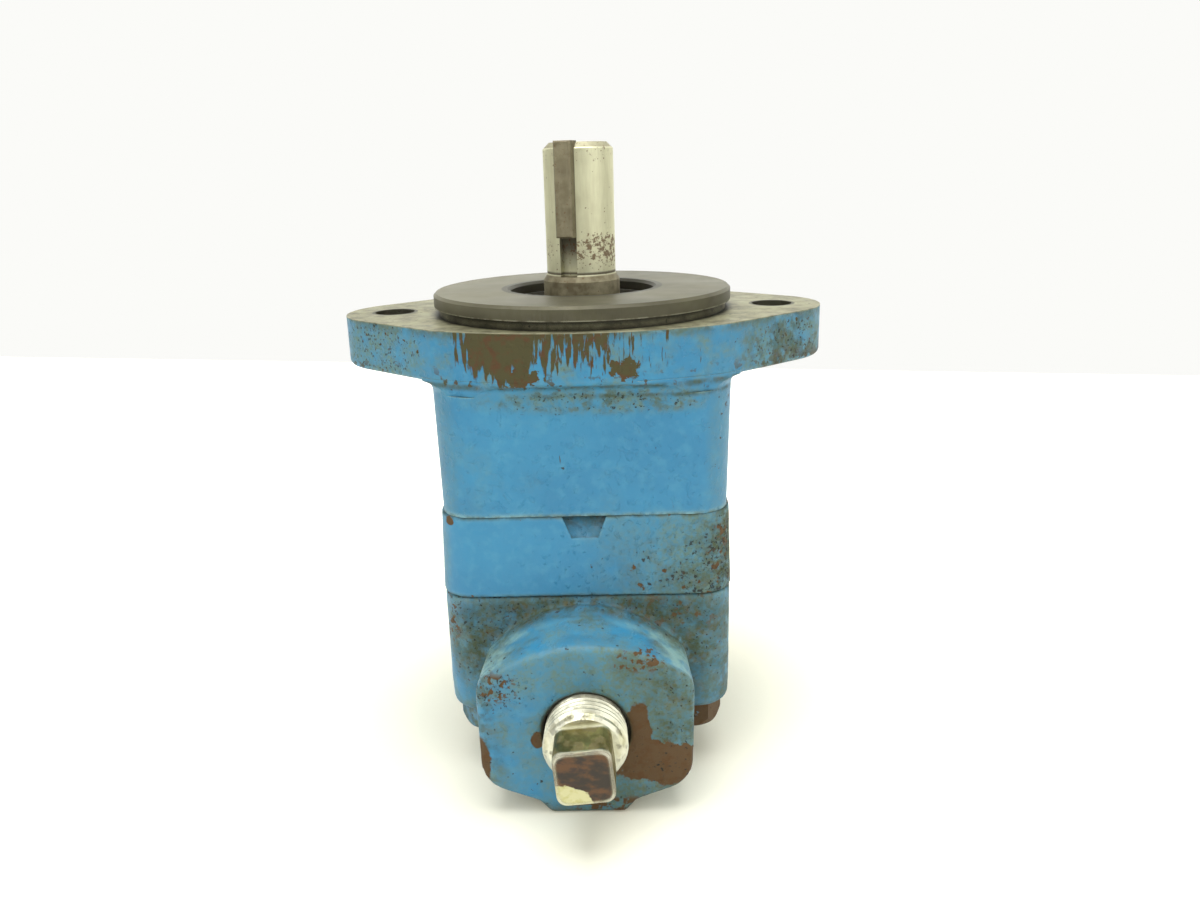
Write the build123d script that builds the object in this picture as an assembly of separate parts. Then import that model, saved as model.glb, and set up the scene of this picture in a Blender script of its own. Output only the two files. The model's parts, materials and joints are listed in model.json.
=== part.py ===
from build123d import *
import math
import os

# Hydraulic vane pump. The mounting face is z = 0, +Z runs out along the drive shaft, the ears lie
# along X, the outlet port faces -Y and the inlet port faces +Y. All sizes are millimetres.

# Two-bolt mounting flange
PILOT_R = 41.275
PILOT_TOP = 6.0
PILOT_RIM_BOTTOM = 2.3
BOLT_SPACING = 106.4
BOLT_HOLE_R = 5.55
FLANGE_DEPTH = 13.5
EAR_X = 46.4
EAR_R = 20.0
BOW_R = 80.0
BOW_FRONT = 43.3
BOW_HALF = 37.5
GUSSET_R = 3.0

# The three castings are stacked on one square section
SECTION = 78.0
BODY_BOTTOM_X = 75.4
BODY_BOTTOM_Y = 76.8
RING_TOP_WIDTH = 76.8
NOTCH_DEPTH = 1.0
COVER_WIDTH = 77.6
SKIRT_TAPER = 1.5
CORNER_R = 9.0
NECK_CORNER_R = 14.0
BODY_BOTTOM = -48.5
RING_BOTTOM = -70.8
CREASE = -97.0
CORNER_BOTTOM = -105.5
FOOT = -123.9

# Cover screws, 3/8 inch
SCREW_AT = 28.5
SCREW_R = 4.76
SCREW_HOLE_R = 5.0
SCREW_TAPPED_R = 4.78
SCREW_END = -27.8
SCREW_DRILL_END = -24.0
HEX_FLATS = 14.3
HEX_HEIGHT = 7.0

# Drive shaft and its key
SHAFT_R = 9.525
SHAFT_TOP = 44.5
SHOULDER_R = 10.6
SHOULDER_TOP = 9.9
JOURNAL_R = 8.5
BUSH_JOURNAL_R = 8.0
STUB_R = 6.5
STUB_END = -76.0
KEY_WIDTH = 4.76
KEY_TOP = 44.8
KEY_BOTTOM = 20.0
KEYWAY_BOTTOM = 9.4
KEY_ANGLE = -109.5
KEY_PROUD = 2.4
KEY_SEAT = 2 + KEY_WIDTH - KEY_PROUD

# Ball bearing, 17 x 40 x 12
BEARING_R = 20.0
BEARING_TOP = 1.2
BEARING_WIDTH = 12.0
BALL_R = 3.373
BALL_CIRCLE_R = 14.25
BALL_COUNT = 8
SNAP_TOP = BEARING_TOP + 1.75
SNAP_GROOVE_R = 21.2

# Shaft seal and bush
SEAL_TOP = -13.4
SEAL_BOTTOM = -19.9
SEAL_R = 15.0
BUSH_R = 10.0
BUSH_TOP = -24.0
BUSH_BOTTOM = -46.0

# Pumping cartridge
CAM_MINOR_R = 22.9
CAM_LIFT = 3.1
ROTOR_R = 22.8
VANE_COUNT = 12
VANE_PHASE = 15.0
VANE_WIDTH = 1.8
VANE_INNER_R = 14.3
VANE_TIP_R = 22.84
SLOT_ROOT_R = 13.2
SPLINE_TEETH = 12
SPLINE_TIP_R = 8.0
SPLINE_ROOT_R = 7.0
RUNNING_GAP = 0.02
PIN_R = 1.75
PIN_AT = 26.2

# Pressure plate, its spring and the O-rings
PLATE_R = 29.0
PLATE_BOTTOM = -83.0
CAVITY_R = 29.1
CAVITY_FLOOR = -87.0
SPRING_R = 15.0
SPRING_WIRE_R = 1.1
SPRING_SEAT = -95.0
WELL_BOTTOM = -109.0
O_RING_R = 33.2
O_RING_WIRE_R = 1.0

# Ports
PORT_X = -0.5
PORT_Z = -100.1
PORT_FACE = -58.0
PORT_HOLE_R = 11.4
INLET_Z = -29.0
INLET_R = 14.7
INLET_FACE = 51.0
THREAD_TAPER = 1 / 32
PLUG_FACE_R = 10.6
PLUG_PROUD = 8.0
PLUG_DEPTH = 12.0
PLUG_FLATS = 14.3
PLUG_HEAD = 11.0
PLUG_TURN = 5.0

CORNERS = [(x, y) for x in (-SCREW_AT, SCREW_AT) for y in (-SCREW_AT, SCREW_AT)]


def disc(radius, top, bottom):
    """Cylinder on the pump's axis between two heights."""
    return Pos(0, 0, (top + bottom) / 2) * Cylinder(radius, top - bottom)


def ring(outer, inner, top, bottom):
    """Plain ring on the pump's axis."""
    return disc(outer, top, bottom) - disc(inner, top + 1, bottom - 1)


def cone(radius_top, radius_bottom, top, bottom):
    """Cone frustum on the pump's axis."""
    return Pos(0, 0, (top + bottom) / 2) * Cone(radius_bottom, radius_top, top - bottom)


def prism(sketch, top, bottom):
    """Sketch in plan, stood up between two heights."""
    return extrude(Pos(0, 0, bottom) * sketch, top - bottom)


def polar(radius, angle):
    """Point at a radius and an angle in degrees."""
    return (radius * math.cos(math.radians(angle)), radius * math.sin(math.radians(angle)))


def lathe(points):
    """Closed outline of (radius, height) points, turned about the pump's axis."""
    return revolve(Plane.XZ * make_face(Polyline(*points, close=True)), Axis.Z)


def wire_ring(radius, wire_r, height, sides=10):
    """Ring of near-round section, turned from a many-sided outline."""
    turns = [2 * math.pi * (i + 0.5) / sides for i in range(sides)]
    return lathe([(radius + wire_r * math.cos(t), height + wire_r * math.sin(t)) for t in turns])


def kidney(inner, outer, middle, span, top, bottom):
    """Round-ended curved port between two radii, centred on an angle."""
    arc = CenterArc((0, 0), (inner + outer) / 2, middle - span / 2, span)
    return prism(SlotArc(arc, outer - inner), top, bottom)


def square_section(corner_r=CORNER_R, width=SECTION):
    """Plan of the castings: a square with round corners."""
    return RectangleRounded(width, width, corner_r)


# ---- body ----

def flange_plan():
    """Bowed front and back, straight flanks and round ears."""
    half_bow = math.asin(BOW_HALF / BOW_R)
    bow_end = (BOW_HALF, -BOW_FRONT + BOW_R * (1 - math.cos(half_bow)))
    reach = (bow_end[0] - EAR_X, bow_end[1])
    turn = math.atan2(reach[1], reach[0]) + math.acos(EAR_R / math.hypot(*reach))
    flank_end = (EAR_X + EAR_R * math.cos(turn), EAR_R * math.sin(turn))
    quarter = JernArc((0, -BOW_FRONT), (1, 0), BOW_R, math.degrees(half_bow))
    quarter += Line(bow_end, flank_end)
    quarter += CenterArc((EAR_X, 0), EAR_R, math.degrees(turn), -math.degrees(turn))
    half = quarter + mirror(quarter, Plane.XZ)
    return make_face(half + mirror(half, Plane.YZ))


def gusset():
    """Hollow curve that flares the neck out under the flange."""
    stations = []
    for degrees in (0, 30, 60, 85):
        flare = GUSSET_R * (1 - math.cos(math.radians(degrees)))
        height = -FLANGE_DEPTH - GUSSET_R + GUSSET_R * math.sin(math.radians(degrees))
        plan = square_section(NECK_CORNER_R + flare, SECTION + 2 * flare)
        stations.append(Pos(0, 0, height) * plan)
    top = Pos(0, 0, -FLANGE_DEPTH + 1) * square_section(NECK_CORNER_R + GUSSET_R, SECTION + 2 * GUSSET_R)
    return loft(stations) + loft([stations[-1], top])


def inlet_boss():
    """Rounded pad on the back that carries the inlet port."""
    bottom, top = BODY_BOTTOM + 1, -6.0
    root = Pos(0, (top + bottom) / 2) * RectangleRounded(56, top - bottom, 12)
    face = Pos(0, (top + bottom) / 2) * RectangleRounded(50, top - bottom, 12)
    back = Plane.XZ.offset(-SECTION / 2 + 6)
    front = Plane.XZ.offset(-INLET_FACE)
    return loft([back * root, front * face])


def inlet_passage():
    """Threaded inlet hole, its mouth, and the chamber that it feeds round the bush."""
    along_y = Rot(-90, 0, 0)
    depth = INLET_FACE - 26
    hole = Pos(0, 26 + depth / 2, INLET_Z) * along_y * Cylinder(INLET_R, depth)
    mouth = Pos(0, INLET_FACE - 1, INLET_Z) * along_y * Cone(INLET_R, INLET_R + 2, 2)
    chamber = ring(29, 16.5, -24, -43)
    kidneys = [kidney(20.5, 26.5, a, 46, -42, BODY_BOTTOM) for a in (-45, 135)]
    return [hole, mouth, chamber, *kidneys]


def body():
    """Cast housing: flange and pilot, bearing, seal and bush seats, inlet chamber and ring face."""
    flange = prism(flange_plan(), 0, -FLANGE_DEPTH)
    flange = fillet(flange.faces().sort_by(Axis.Z)[0].edges(), 1.5)
    neck = Pos(0, 0, -FLANGE_DEPTH - GUSSET_R) * square_section(NECK_CORNER_R)
    block = loft([neck, Pos(0, 0, BODY_BOTTOM) * RectangleRounded(BODY_BOTTOM_X, BODY_BOTTOM_Y, CORNER_R)])
    block += flange + (gusset() & prism(flange_plan(), 0, -FLANGE_DEPTH - GUSSET_R))
    block += inlet_boss()
    pilot = ring(PILOT_R, BEARING_R, PILOT_TOP, PILOT_RIM_BOTTOM) + disc(PILOT_R - 1.3, PILOT_RIM_BOTTOM, -1)
    rim = pilot.edges().filter_by(lambda e: abs(e.center().Z - PILOT_TOP) < 0.01)
    block += chamfer(rim, 0.75)
    block -= disc(BEARING_R, PILOT_TOP, BEARING_TOP - BEARING_WIDTH)
    block -= disc(SNAP_GROOVE_R, SNAP_TOP, BEARING_TOP)
    block -= disc(SEAL_R, 0, SEAL_BOTTOM)
    block -= disc(11, 0, BUSH_TOP)
    block -= disc(BUSH_R, 0, BUSH_BOTTOM)
    block -= disc(BUSH_R + 1.5, BUSH_BOTTOM, BODY_BOTTOM)
    block -= inlet_passage()
    block -= ring(O_RING_R + 1.4, O_RING_R - 1.4, BODY_BOTTOM + 2 * O_RING_WIRE_R, BODY_BOTTOM)
    block -= [kidney(20.5, 26.5, a, 46, BODY_BOTTOM + 1.5, BODY_BOTTOM) for a in (45, -135)]
    block -= [Pos(x, 0) * disc(BOLT_HOLE_R, 1, -FLANGE_DEPTH - 1) for x in (-BOLT_SPACING / 2, BOLT_SPACING / 2)]
    block -= [Pos(x, y) * disc(SCREW_TAPPED_R, SCREW_DRILL_END, BODY_BOTTOM) for x, y in CORNERS]
    block -= pin_holes(BODY_BOTTOM + 6.5, BODY_BOTTOM)
    return block


# ---- bearing, seal and bush ----

def ball_track():
    """Cutter for the ball grooves of both bearing rings; its flats clear the balls."""
    sides = 12
    reach = (BALL_R + RUNNING_GAP) / math.cos(math.pi / sides)
    return wire_ring(BALL_CIRCLE_R, reach, BEARING_TOP - BEARING_WIDTH / 2, sides)


def bearing_ring(outer, inner):
    """One bearing ring with its ball groove and rounded corners."""
    blank = ring(outer, inner, BEARING_TOP, BEARING_TOP - BEARING_WIDTH)
    corners = blank.edges().filter_by(GeomType.CIRCLE)
    return chamfer(corners, 0.4) - ball_track()


def bearing_balls():
    """Eight separate balls on the ball circle, each turned from a many-sided outline."""
    sides = 16
    rim = [(BALL_R * math.cos(t), BALL_R * math.sin(t)) for t in
           [math.pi * (i / sides - 0.5) for i in range(1, sides)]]
    ball = Pos(0, 0, BEARING_TOP - BEARING_WIDTH / 2) * lathe([(0, -BALL_R), *rim, (0, BALL_R)])
    places = [polar(BALL_CIRCLE_R, i * 360 / BALL_COUNT) for i in range(BALL_COUNT)]
    return Compound(children=[Pos(x, y) * ball for x, y in places])


def bearing_cage():
    """Ring with a round pocket for each ball."""
    middle = BEARING_TOP - BEARING_WIDTH / 2
    cage = ring(BALL_CIRCLE_R + 1, BALL_CIRCLE_R - 1, middle + 4.4, middle - 4.4)
    pocket = Pos(BALL_CIRCLE_R, 0, middle) * Rot(0, 90, 0) * Cylinder(BALL_R + 0.05, 6)
    return cage - [Rot(0, 0, i * 360 / BALL_COUNT) * pocket for i in range(BALL_COUNT)]


def snap_ring(outer, inner, lug_at, top, bottom, facing):
    """C-shaped retaining ring with two pierced lugs beside its gap."""
    lugs = [Rot(0, 0, facing + side * 11) * Pos(lug_at, 0) for side in (-1, 1)]
    plan = Circle(outer) - Circle(inner) + [lug * Circle(2.1) for lug in lugs]
    plan -= [lug * Circle(0.8) for lug in lugs]
    plan -= Rot(0, 0, facing) * Pos((outer + inner) / 2, 0) * Rectangle(3 * (outer - inner) + 4, 2.2)
    return prism(plan, top, bottom)


def bearing_snap_ring():
    return snap_ring(SNAP_GROOVE_R - 0.1, 18.9, 18.6, SNAP_TOP - 0.05, BEARING_TOP, 90)


def shaft_snap_ring():
    low = BEARING_TOP - BEARING_WIDTH
    return snap_ring(9.9, BUSH_JOURNAL_R, 10.1, low, low - 1.1, -90)


def seal_case():
    """Pressed steel case of the shaft seal."""
    t, top, low = 1.0, SEAL_TOP, SEAL_BOTTOM
    inner = 10.8
    return lathe([(SEAL_R, top), (SEAL_R, low), (SEAL_R - t, low), (SEAL_R - t, top - t), (inner, top - t), (inner, top)])


def seal_lip():
    """Rubber lip bonded to the case, with a dust lip above and the sealing edge below."""
    top, edge = SEAL_TOP, SEAL_TOP - 4.6
    tip = JOURNAL_R + RUNNING_GAP
    return lathe([(9.3, top), (10.8, top), (10.8, top - 1), (12.2, top - 1), (12.2, top - 1.9), (10.4, top - 2.4),
                  (10.4, SEAL_BOTTOM + 0.4), (9.4, SEAL_BOTTOM + 0.4), (tip, edge), (9.3, top - 2.6)])


def seal_garter_spring():
    """Closed coil ring that presses the sealing edge on to the shaft."""
    return wire_ring(11.1, 0.7, SEAL_TOP - 4.6, 8)


def shaft_bush():
    """Plain bush that carries the shaft's inner end, with a lead-in at each mouth."""
    blank = ring(BUSH_R, BUSH_JOURNAL_R + 0.03, BUSH_TOP, BUSH_BOTTOM)
    mouths = blank.edges().filter_by(GeomType.CIRCLE).filter_by(lambda e: e.radius < BUSH_R - 0.5)
    return chamfer(mouths, 0.4)


# ---- shaft ----

def spline_plan(grow=0.0):
    """Straight-sided spline; grow opens it out for the bore that runs on it."""
    root_half, tip_half = 1.15 + grow, 0.8 + grow
    low, high = SPLINE_ROOT_R - 0.5, SPLINE_TIP_R + grow
    tooth = Polygon((low, -root_half), (high, -tip_half), (high, tip_half), (low, root_half), align=None)
    return Circle(SPLINE_ROOT_R + grow) + [Rot(0, 0, i * 360 / SPLINE_TEETH) * tooth for i in range(SPLINE_TEETH)]


def shaft():
    """Keyed drive end, shoulder, bearing journal, bush journal, splined end and stub."""
    end_chamfer, step = 1.7, SHOULDER_R - SHAFT_R
    bearing_low = BEARING_TOP - BEARING_WIDTH
    turned = lathe([
        (0, SHAFT_TOP), (SHAFT_R - end_chamfer, SHAFT_TOP), (SHAFT_R, SHAFT_TOP - end_chamfer),
        (SHAFT_R, SHOULDER_TOP), (SHOULDER_R, SHOULDER_TOP - 1.7 * step), (SHOULDER_R, BEARING_TOP),
        (JOURNAL_R, BEARING_TOP), (JOURNAL_R, bearing_low), (BUSH_JOURNAL_R, bearing_low),
        (BUSH_JOURNAL_R, bearing_low - 1.1), (JOURNAL_R, bearing_low - 1.1), (JOURNAL_R, -22),
        (BUSH_JOURNAL_R, -22.5), (BUSH_JOURNAL_R, BODY_BOTTOM + 1.5), (SPLINE_ROOT_R, BODY_BOTTOM + 0.5),
        (SPLINE_ROOT_R, RING_BOTTOM + 0.8), (STUB_R, RING_BOTTOM + 0.8), (STUB_R, STUB_END + 0.6),
        (STUB_R - 0.6, STUB_END), (0, STUB_END)])
    turned += prism(spline_plan(), BODY_BOTTOM - RUNNING_GAP, RING_BOTTOM + 0.8)
    centre = cone(2.4, 0.01, SHAFT_TOP, SHAFT_TOP - 4)
    keyway = Pos(SHAFT_R + 2, 0, 0) * prism(Rectangle(2 * KEY_SEAT, KEY_WIDTH), SHAFT_TOP + 1, KEYWAY_BOTTOM)
    return turned - centre - Rot(0, 0, KEY_ANGLE) * keyway


def shaft_key():
    """Square key, seated half its depth in the shaft, with broken edges."""
    middle = SHAFT_R + KEY_PROUD - KEY_WIDTH / 2
    blank = Pos(middle, 0, (KEY_TOP + KEY_BOTTOM) / 2) * Box(KEY_WIDTH, KEY_WIDTH, KEY_TOP - KEY_BOTTOM)
    outer = blank.faces().sort_by(Axis.X)[-1]
    return Rot(0, 0, KEY_ANGLE) * chamfer(outer.edges(), 0.4)


# ---- pumping cartridge ----

def cam_radius(angle):
    """Distance from the axis to the cam surface, with the short axis at 0 degrees."""
    return CAM_MINOR_R + CAM_LIFT * math.sin(math.radians(angle)) ** 2


def cam_plan():
    """Two-lobed cam outline."""
    steps = 24
    points = [polar(cam_radius(i * 360 / steps), i * 360 / steps) for i in range(steps)]
    return make_face(Spline(*points, periodic=True))


def pin_holes(top, bottom):
    """Clearance holes for the two locating pins, on the cam's short axis."""
    return [Pos(x, 0) * disc(PIN_R + 0.03, top, bottom) for x in (-PIN_AT, PIN_AT)]


def cam_ring():
    """Ring between body and cover, with the cam inside and a plain pry notch outside."""
    top = Pos(0, 0, BODY_BOTTOM) * square_section(width=RING_TOP_WIDTH)
    blank = loft([Pos(0, 0, RING_BOTTOM) * square_section(), top])
    blank -= prism(cam_plan(), BODY_BOTTOM, RING_BOTTOM)
    blank -= [Pos(x, y) * disc(SCREW_HOLE_R, BODY_BOTTOM, RING_BOTTOM) for x, y in CORNERS]
    blank -= pin_holes(BODY_BOTTOM, RING_BOTTOM)
    notch = Plane.XZ * Pos(0, BODY_BOTTOM) * Polygon((-5.5, 1), (5.5, 1), (2.6, -3.6), (-2.6, -3.6), align=None)
    return blank - Pos(0, -RING_TOP_WIDTH / 2 + NOTCH_DEPTH) * extrude(notch, 2)


def locating_pins():
    """Two dowels that line up body, cam ring and pressure plate."""
    pin = chamfer(disc(PIN_R, BODY_BOTTOM + 6, RING_BOTTOM - 5.5).edges().filter_by(GeomType.CIRCLE), 0.3)
    return Compound(children=[Pos(x, 0) * pin for x in (-PIN_AT, PIN_AT)])


def rotor():
    """Splined rotor with a slot and an under-vane hole for each vane."""
    slot = Pos((SLOT_ROOT_R + ROTOR_R + 1) / 2, 0) * Rectangle(ROTOR_R + 1 - SLOT_ROOT_R, VANE_WIDTH + 2 * RUNNING_GAP)
    slot += Pos(SLOT_ROOT_R, 0) * Circle(1.5)
    angles = [VANE_PHASE + i * 360 / VANE_COUNT for i in range(VANE_COUNT)]
    plan = Circle(ROTOR_R) - spline_plan(2 * RUNNING_GAP) - [Rot(0, 0, a) * slot for a in angles]
    return prism(plan, BODY_BOTTOM - RUNNING_GAP, RING_BOTTOM + RUNNING_GAP)


def vane(number):
    """Flat vane with a bevelled tip, drawn in as far as the rotor holds it."""
    half, tip = VANE_WIDTH / 2, VANE_TIP_R
    plan = Polygon((VANE_INNER_R, -half), (tip - 0.75, -half), (tip, 0.3), (tip - 0.15, half), (VANE_INNER_R, half),
                   align=None)
    blade = prism(plan, BODY_BOTTOM - 2 * RUNNING_GAP, RING_BOTTOM + 2 * RUNNING_GAP)
    return Rot(0, 0, VANE_PHASE + number * 360 / VANE_COUNT) * blade


# ---- pressure plate ----

def pressure_plate():
    """Side plate with outlet kidneys, blind inlet pockets, an under-vane groove and a spring spigot."""
    plate = disc(PLATE_R, RING_BOTTOM, PLATE_BOTTOM) - disc(STUB_R + 0.7, RING_BOTTOM, PLATE_BOTTOM)
    plate -= [kidney(20.5, 26.0, a, 44, RING_BOTTOM, PLATE_BOTTOM) for a in (45, -135)]
    plate -= [kidney(20.5, 26.0, a, 44, RING_BOTTOM, RING_BOTTOM - 2) for a in (-45, 135)]
    plate -= ring(SLOT_ROOT_R + 1.3, SLOT_ROOT_R - 1.3, RING_BOTTOM, RING_BOTTOM - 1.2)
    plate -= ring(PLATE_R + 1, PLATE_R - 2, -76.4, -78.6)
    plate -= pin_holes(RING_BOTTOM, RING_BOTTOM - 7)
    return plate


def plate_o_ring():
    return wire_ring(PLATE_R - 0.99, O_RING_WIRE_R, -77.5)


def face_o_ring(seat):
    """O-ring that lies in a face groove; seat is the height of its middle."""
    return wire_ring(O_RING_R, O_RING_WIRE_R, seat)


def pressure_spring():
    """Coil spring between the plate and the cover, with ground ends and short straight runs in each turn."""
    height, turns, runs = PLATE_BOTTOM - SPRING_SEAT, 3, 20
    steps = range(turns * runs + 1)
    path = Polyline(*[(*polar(SPRING_R, i * 360 / runs), SPRING_SEAT + height * i / steps[-1]) for i in steps])
    wire = Plane(path @ 0, z_dir=path % 0) * RegularPolygon(SPRING_WIRE_R, 8)
    coil = sweep(wire, path=path, transition=Transition.RIGHT)
    return coil & disc(SPRING_R + 3, PLATE_BOTTOM, SPRING_SEAT)


# ---- cover ----

def boss_outline(half_width, shoulder, peak, crown_r):
    """Outlet boss seen from the front: low-pitched top, round shoulders and a narrow flat foot."""
    foot = FOOT - PORT_Z
    half = [(half_width, shoulder), (half_width - 0.5, -14.8), (12.6, -20.4), (9.8, foot)]
    left = [(-x, y) for x, y in reversed(half)]
    radii = [crown_r, 6.5, 9, 2, 1, 1, 2, 9, 6.5]
    return make_face(FilletPolyline((0, peak), *half, *left, radius=radii, close=True))


def outlet_boss():
    """Boss that rises to a ridge where it runs into the cover's front, and is bevelled off behind it."""
    front, ridge, root = PORT_FACE, -SECTION / 2 - 1.8, -SECTION / 2 + 0.4
    outlines = {front: (27.9, 15.0, 29.2, 44), ridge: (26.8, 15.4, 36.9, 32), root: (25.6, 14.0, 34.5, 31)}
    stations = [Plane.XZ.offset(-y) * Pos(PORT_X, PORT_Z) * boss_outline(*sizes) for y, sizes in outlines.items()]
    boss = loft(stations[:2], ruled=True) + loft(stations[1:], ruled=True)
    return chamfer(boss.faces().sort_by(Axis.Y)[0].edges(), 0.9)


def cover_passages():
    """Plate cavity, spring pocket, outlet well and the cross passage to the port."""
    along_y = Rot(90, 0, 0)
    passage = Pos(PORT_X, PORT_FACE / 2, PORT_Z) * along_y * Cylinder(9, -PORT_FACE)
    seat_depth = PLUG_DEPTH + 2
    inner_r = PLUG_FACE_R - seat_depth * THREAD_TAPER
    seat = Pos(PORT_X, PORT_FACE + seat_depth / 2, PORT_Z) * along_y * Cone(inner_r, PLUG_FACE_R + RUNNING_GAP, seat_depth)
    mouth = Pos(PORT_X, PORT_FACE + 0.8, PORT_Z) * along_y * Cone(PLUG_FACE_R, PORT_HOLE_R, 1.6)
    return [disc(CAVITY_R, RING_BOTTOM, CAVITY_FLOOR), disc(19, CAVITY_FLOOR, SPRING_SEAT),
            disc(12, SPRING_SEAT, WELL_BOTTOM), passage, seat, mouth]


def cover():
    """Cast cover: square block, tapered skirt, round end pad and the outlet boss."""
    plan = square_section(width=COVER_WIDTH)
    block = prism(plan, RING_BOTTOM, CREASE)
    block += extrude(Pos(0, 0, CREASE) * plan, CREASE - CORNER_BOTTOM, dir=(0, 0, -1), taper=SKIRT_TAPER)
    under = block.faces().sort_by(Axis.Z)[0]
    block = fillet(under.edges(), 2.5)
    block += cone(31, 27, CORNER_BOTTOM + 1, FOOT)
    keel = Polygon((-19, 0), (19, 0), (19, -8), (10, FOOT - CORNER_BOTTOM), (-10, FOOT - CORNER_BOTTOM), (-19, -8),
                   align=None)
    front = Plane.XZ.offset(SECTION / 2 + 0.4)
    block += extrude(front * Pos(PORT_X, CORNER_BOTTOM) * keel, SECTION / 2, dir=(0, 1, 0))
    block += outlet_boss()
    block -= cover_passages()
    block -= ring(O_RING_R + 1.4, O_RING_R - 1.4, RING_BOTTOM, RING_BOTTOM - 2 * O_RING_WIRE_R)
    block -= [Pos(x, y) * disc(SCREW_HOLE_R, RING_BOTTOM, CORNER_BOTTOM - 1) for x, y in CORNERS]
    return block


def cover_bolts():
    """Four hex-head screws that clamp cover and ring to the body."""
    head = prism(RegularPolygon(HEX_FLATS / 2, 6, major_radius=False), CORNER_BOTTOM, CORNER_BOTTOM - HEX_HEIGHT)
    head &= cone(HEX_FLATS * 0.75, HEX_FLATS / 2 - 0.2, CORNER_BOTTOM, CORNER_BOTTOM - HEX_HEIGHT - 0.2)
    screw = head + disc(SCREW_R, SCREW_END, CORNER_BOTTOM)
    turns = (8, 24, 0, 15)
    return Compound(children=[Pos(x, y) * Rot(0, 0, t) * screw for (x, y), t in zip(CORNERS, turns)])


def port_plug():
    """Tapered pipe plug with a square head, screwed into the outlet."""
    length = PLUG_PROUD + PLUG_DEPTH
    outer_r = PLUG_FACE_R + PLUG_PROUD * THREAD_TAPER
    inner_r = PLUG_FACE_R - PLUG_DEPTH * THREAD_TAPER
    thread = Cone(inner_r, outer_r, length)
    thread = chamfer(thread.edges().filter_by(GeomType.CIRCLE), 1.3)
    square = Rot(0, 0, PLUG_TURN) * RectangleRounded(PLUG_FLATS, PLUG_FLATS, 2.6)
    head = Pos(0, 0, length / 2) * extrude(square, PLUG_HEAD)
    head = chamfer(head.faces().sort_by(Axis.Z)[-1].edges(), 0.5)
    front = PORT_FACE - PLUG_PROUD + length / 2
    return Pos(PORT_X, front, PORT_Z) * Rot(90, 0, 0) * (thread + head)


def build_all():
    """Every sub-part by its node name."""
    nodes = {
        "body": body(),
        "bearing_outer_ring": bearing_ring(BEARING_R, 16.4),
        "bearing_inner_ring": bearing_ring(12.1, JOURNAL_R),
        "bearing_balls": bearing_balls(),
        "bearing_cage": bearing_cage(),
        "bearing_snap_ring": bearing_snap_ring(),
        "shaft_snap_ring": shaft_snap_ring(),
        "seal_case": seal_case(),
        "seal_lip": seal_lip(),
        "seal_garter_spring": seal_garter_spring(),
        "shaft_bush": shaft_bush(),
        "shaft": shaft(),
        "shaft_key": shaft_key(),
        "body_o_ring": face_o_ring(BODY_BOTTOM + O_RING_WIRE_R),
        "cam_ring": cam_ring(),
        "locating_pins": locating_pins(),
        "rotor": rotor(),
        "pressure_plate": pressure_plate(),
        "plate_o_ring": plate_o_ring(),
        "pressure_spring": pressure_spring(),
        "cover_o_ring": face_o_ring(RING_BOTTOM - O_RING_WIRE_R),
        "cover": cover(),
        "cover_bolts": cover_bolts(),
        "port_plug": port_plug(),
    }
    for number in range(VANE_COUNT):
        nodes[f"vane_{number + 1:02d}"] = vane(number)
    return nodes


os.makedirs("parts", exist_ok=True)
for node_name, shape in build_all().items():
    export_step(shape, f"parts/{node_name}.step")
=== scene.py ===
import json
import math

import bmesh
import bpy
from mathutils import Matrix, Vector


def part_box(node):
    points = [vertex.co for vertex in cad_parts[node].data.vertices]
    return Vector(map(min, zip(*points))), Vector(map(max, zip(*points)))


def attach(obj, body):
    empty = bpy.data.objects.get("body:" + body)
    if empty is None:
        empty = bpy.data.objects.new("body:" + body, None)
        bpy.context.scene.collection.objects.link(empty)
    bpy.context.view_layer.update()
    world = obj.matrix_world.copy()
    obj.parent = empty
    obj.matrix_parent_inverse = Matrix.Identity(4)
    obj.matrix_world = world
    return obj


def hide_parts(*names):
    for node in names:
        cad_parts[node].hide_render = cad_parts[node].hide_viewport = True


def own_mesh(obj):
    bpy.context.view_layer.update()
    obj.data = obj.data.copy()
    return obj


bl_info = {
    "name": "Hydraulic vane pump",
    "version": (1, 0, 0),
    "blender": (4, 5, 0),
    "location": "View3D > Sidebar > Vane pump",
    "description": "Dresses the vane pump's parts with worn enamel, machined iron and plated steel",
    "category": "Object",
}

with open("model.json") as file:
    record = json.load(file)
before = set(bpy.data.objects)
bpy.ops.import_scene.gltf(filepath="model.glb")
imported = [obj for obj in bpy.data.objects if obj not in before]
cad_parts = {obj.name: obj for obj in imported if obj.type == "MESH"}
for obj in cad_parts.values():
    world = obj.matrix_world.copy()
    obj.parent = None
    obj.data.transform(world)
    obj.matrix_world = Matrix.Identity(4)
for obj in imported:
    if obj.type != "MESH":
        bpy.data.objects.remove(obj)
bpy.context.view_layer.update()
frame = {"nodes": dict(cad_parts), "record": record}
MM = 0.001
X, Y, Z = 0, 1, 2
ENDLESS = 900               # radius in mm of a region that runs through the whole pump
SMOOTH, RAGGED = 2.0, 8.0   # detail of a noise: soft lumps, or the torn edge of a chip
WELD = 0.002 * MM           # corners closer than this are one
TOUCH = 0.01 * MM           # corners this near to a plane lie on it
FLOOR_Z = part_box("cover")[0].z
# Name, place in metres, width in metres and power in watts.
LAMPS = (("key", (-0.45, -0.60, 0.55), 0.7, 3.6), ("fill", (0.70, -0.45, 0.30), 0.8, 2.4),
         ("overhead", (0.0, -0.05, 0.90), 0.8, 10.0))


# ---- colours and nodes ----

def linear(hex_colour):
    """sRGB hex to linear red, green and blue."""
    parts = [int(hex_colour[i:i + 2], 16) / 255 for i in (0, 2, 4)]
    return [c / 12.92 if c <= 0.04045 else ((c + 0.055) / 1.055) ** 2.4 for c in parts]


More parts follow.
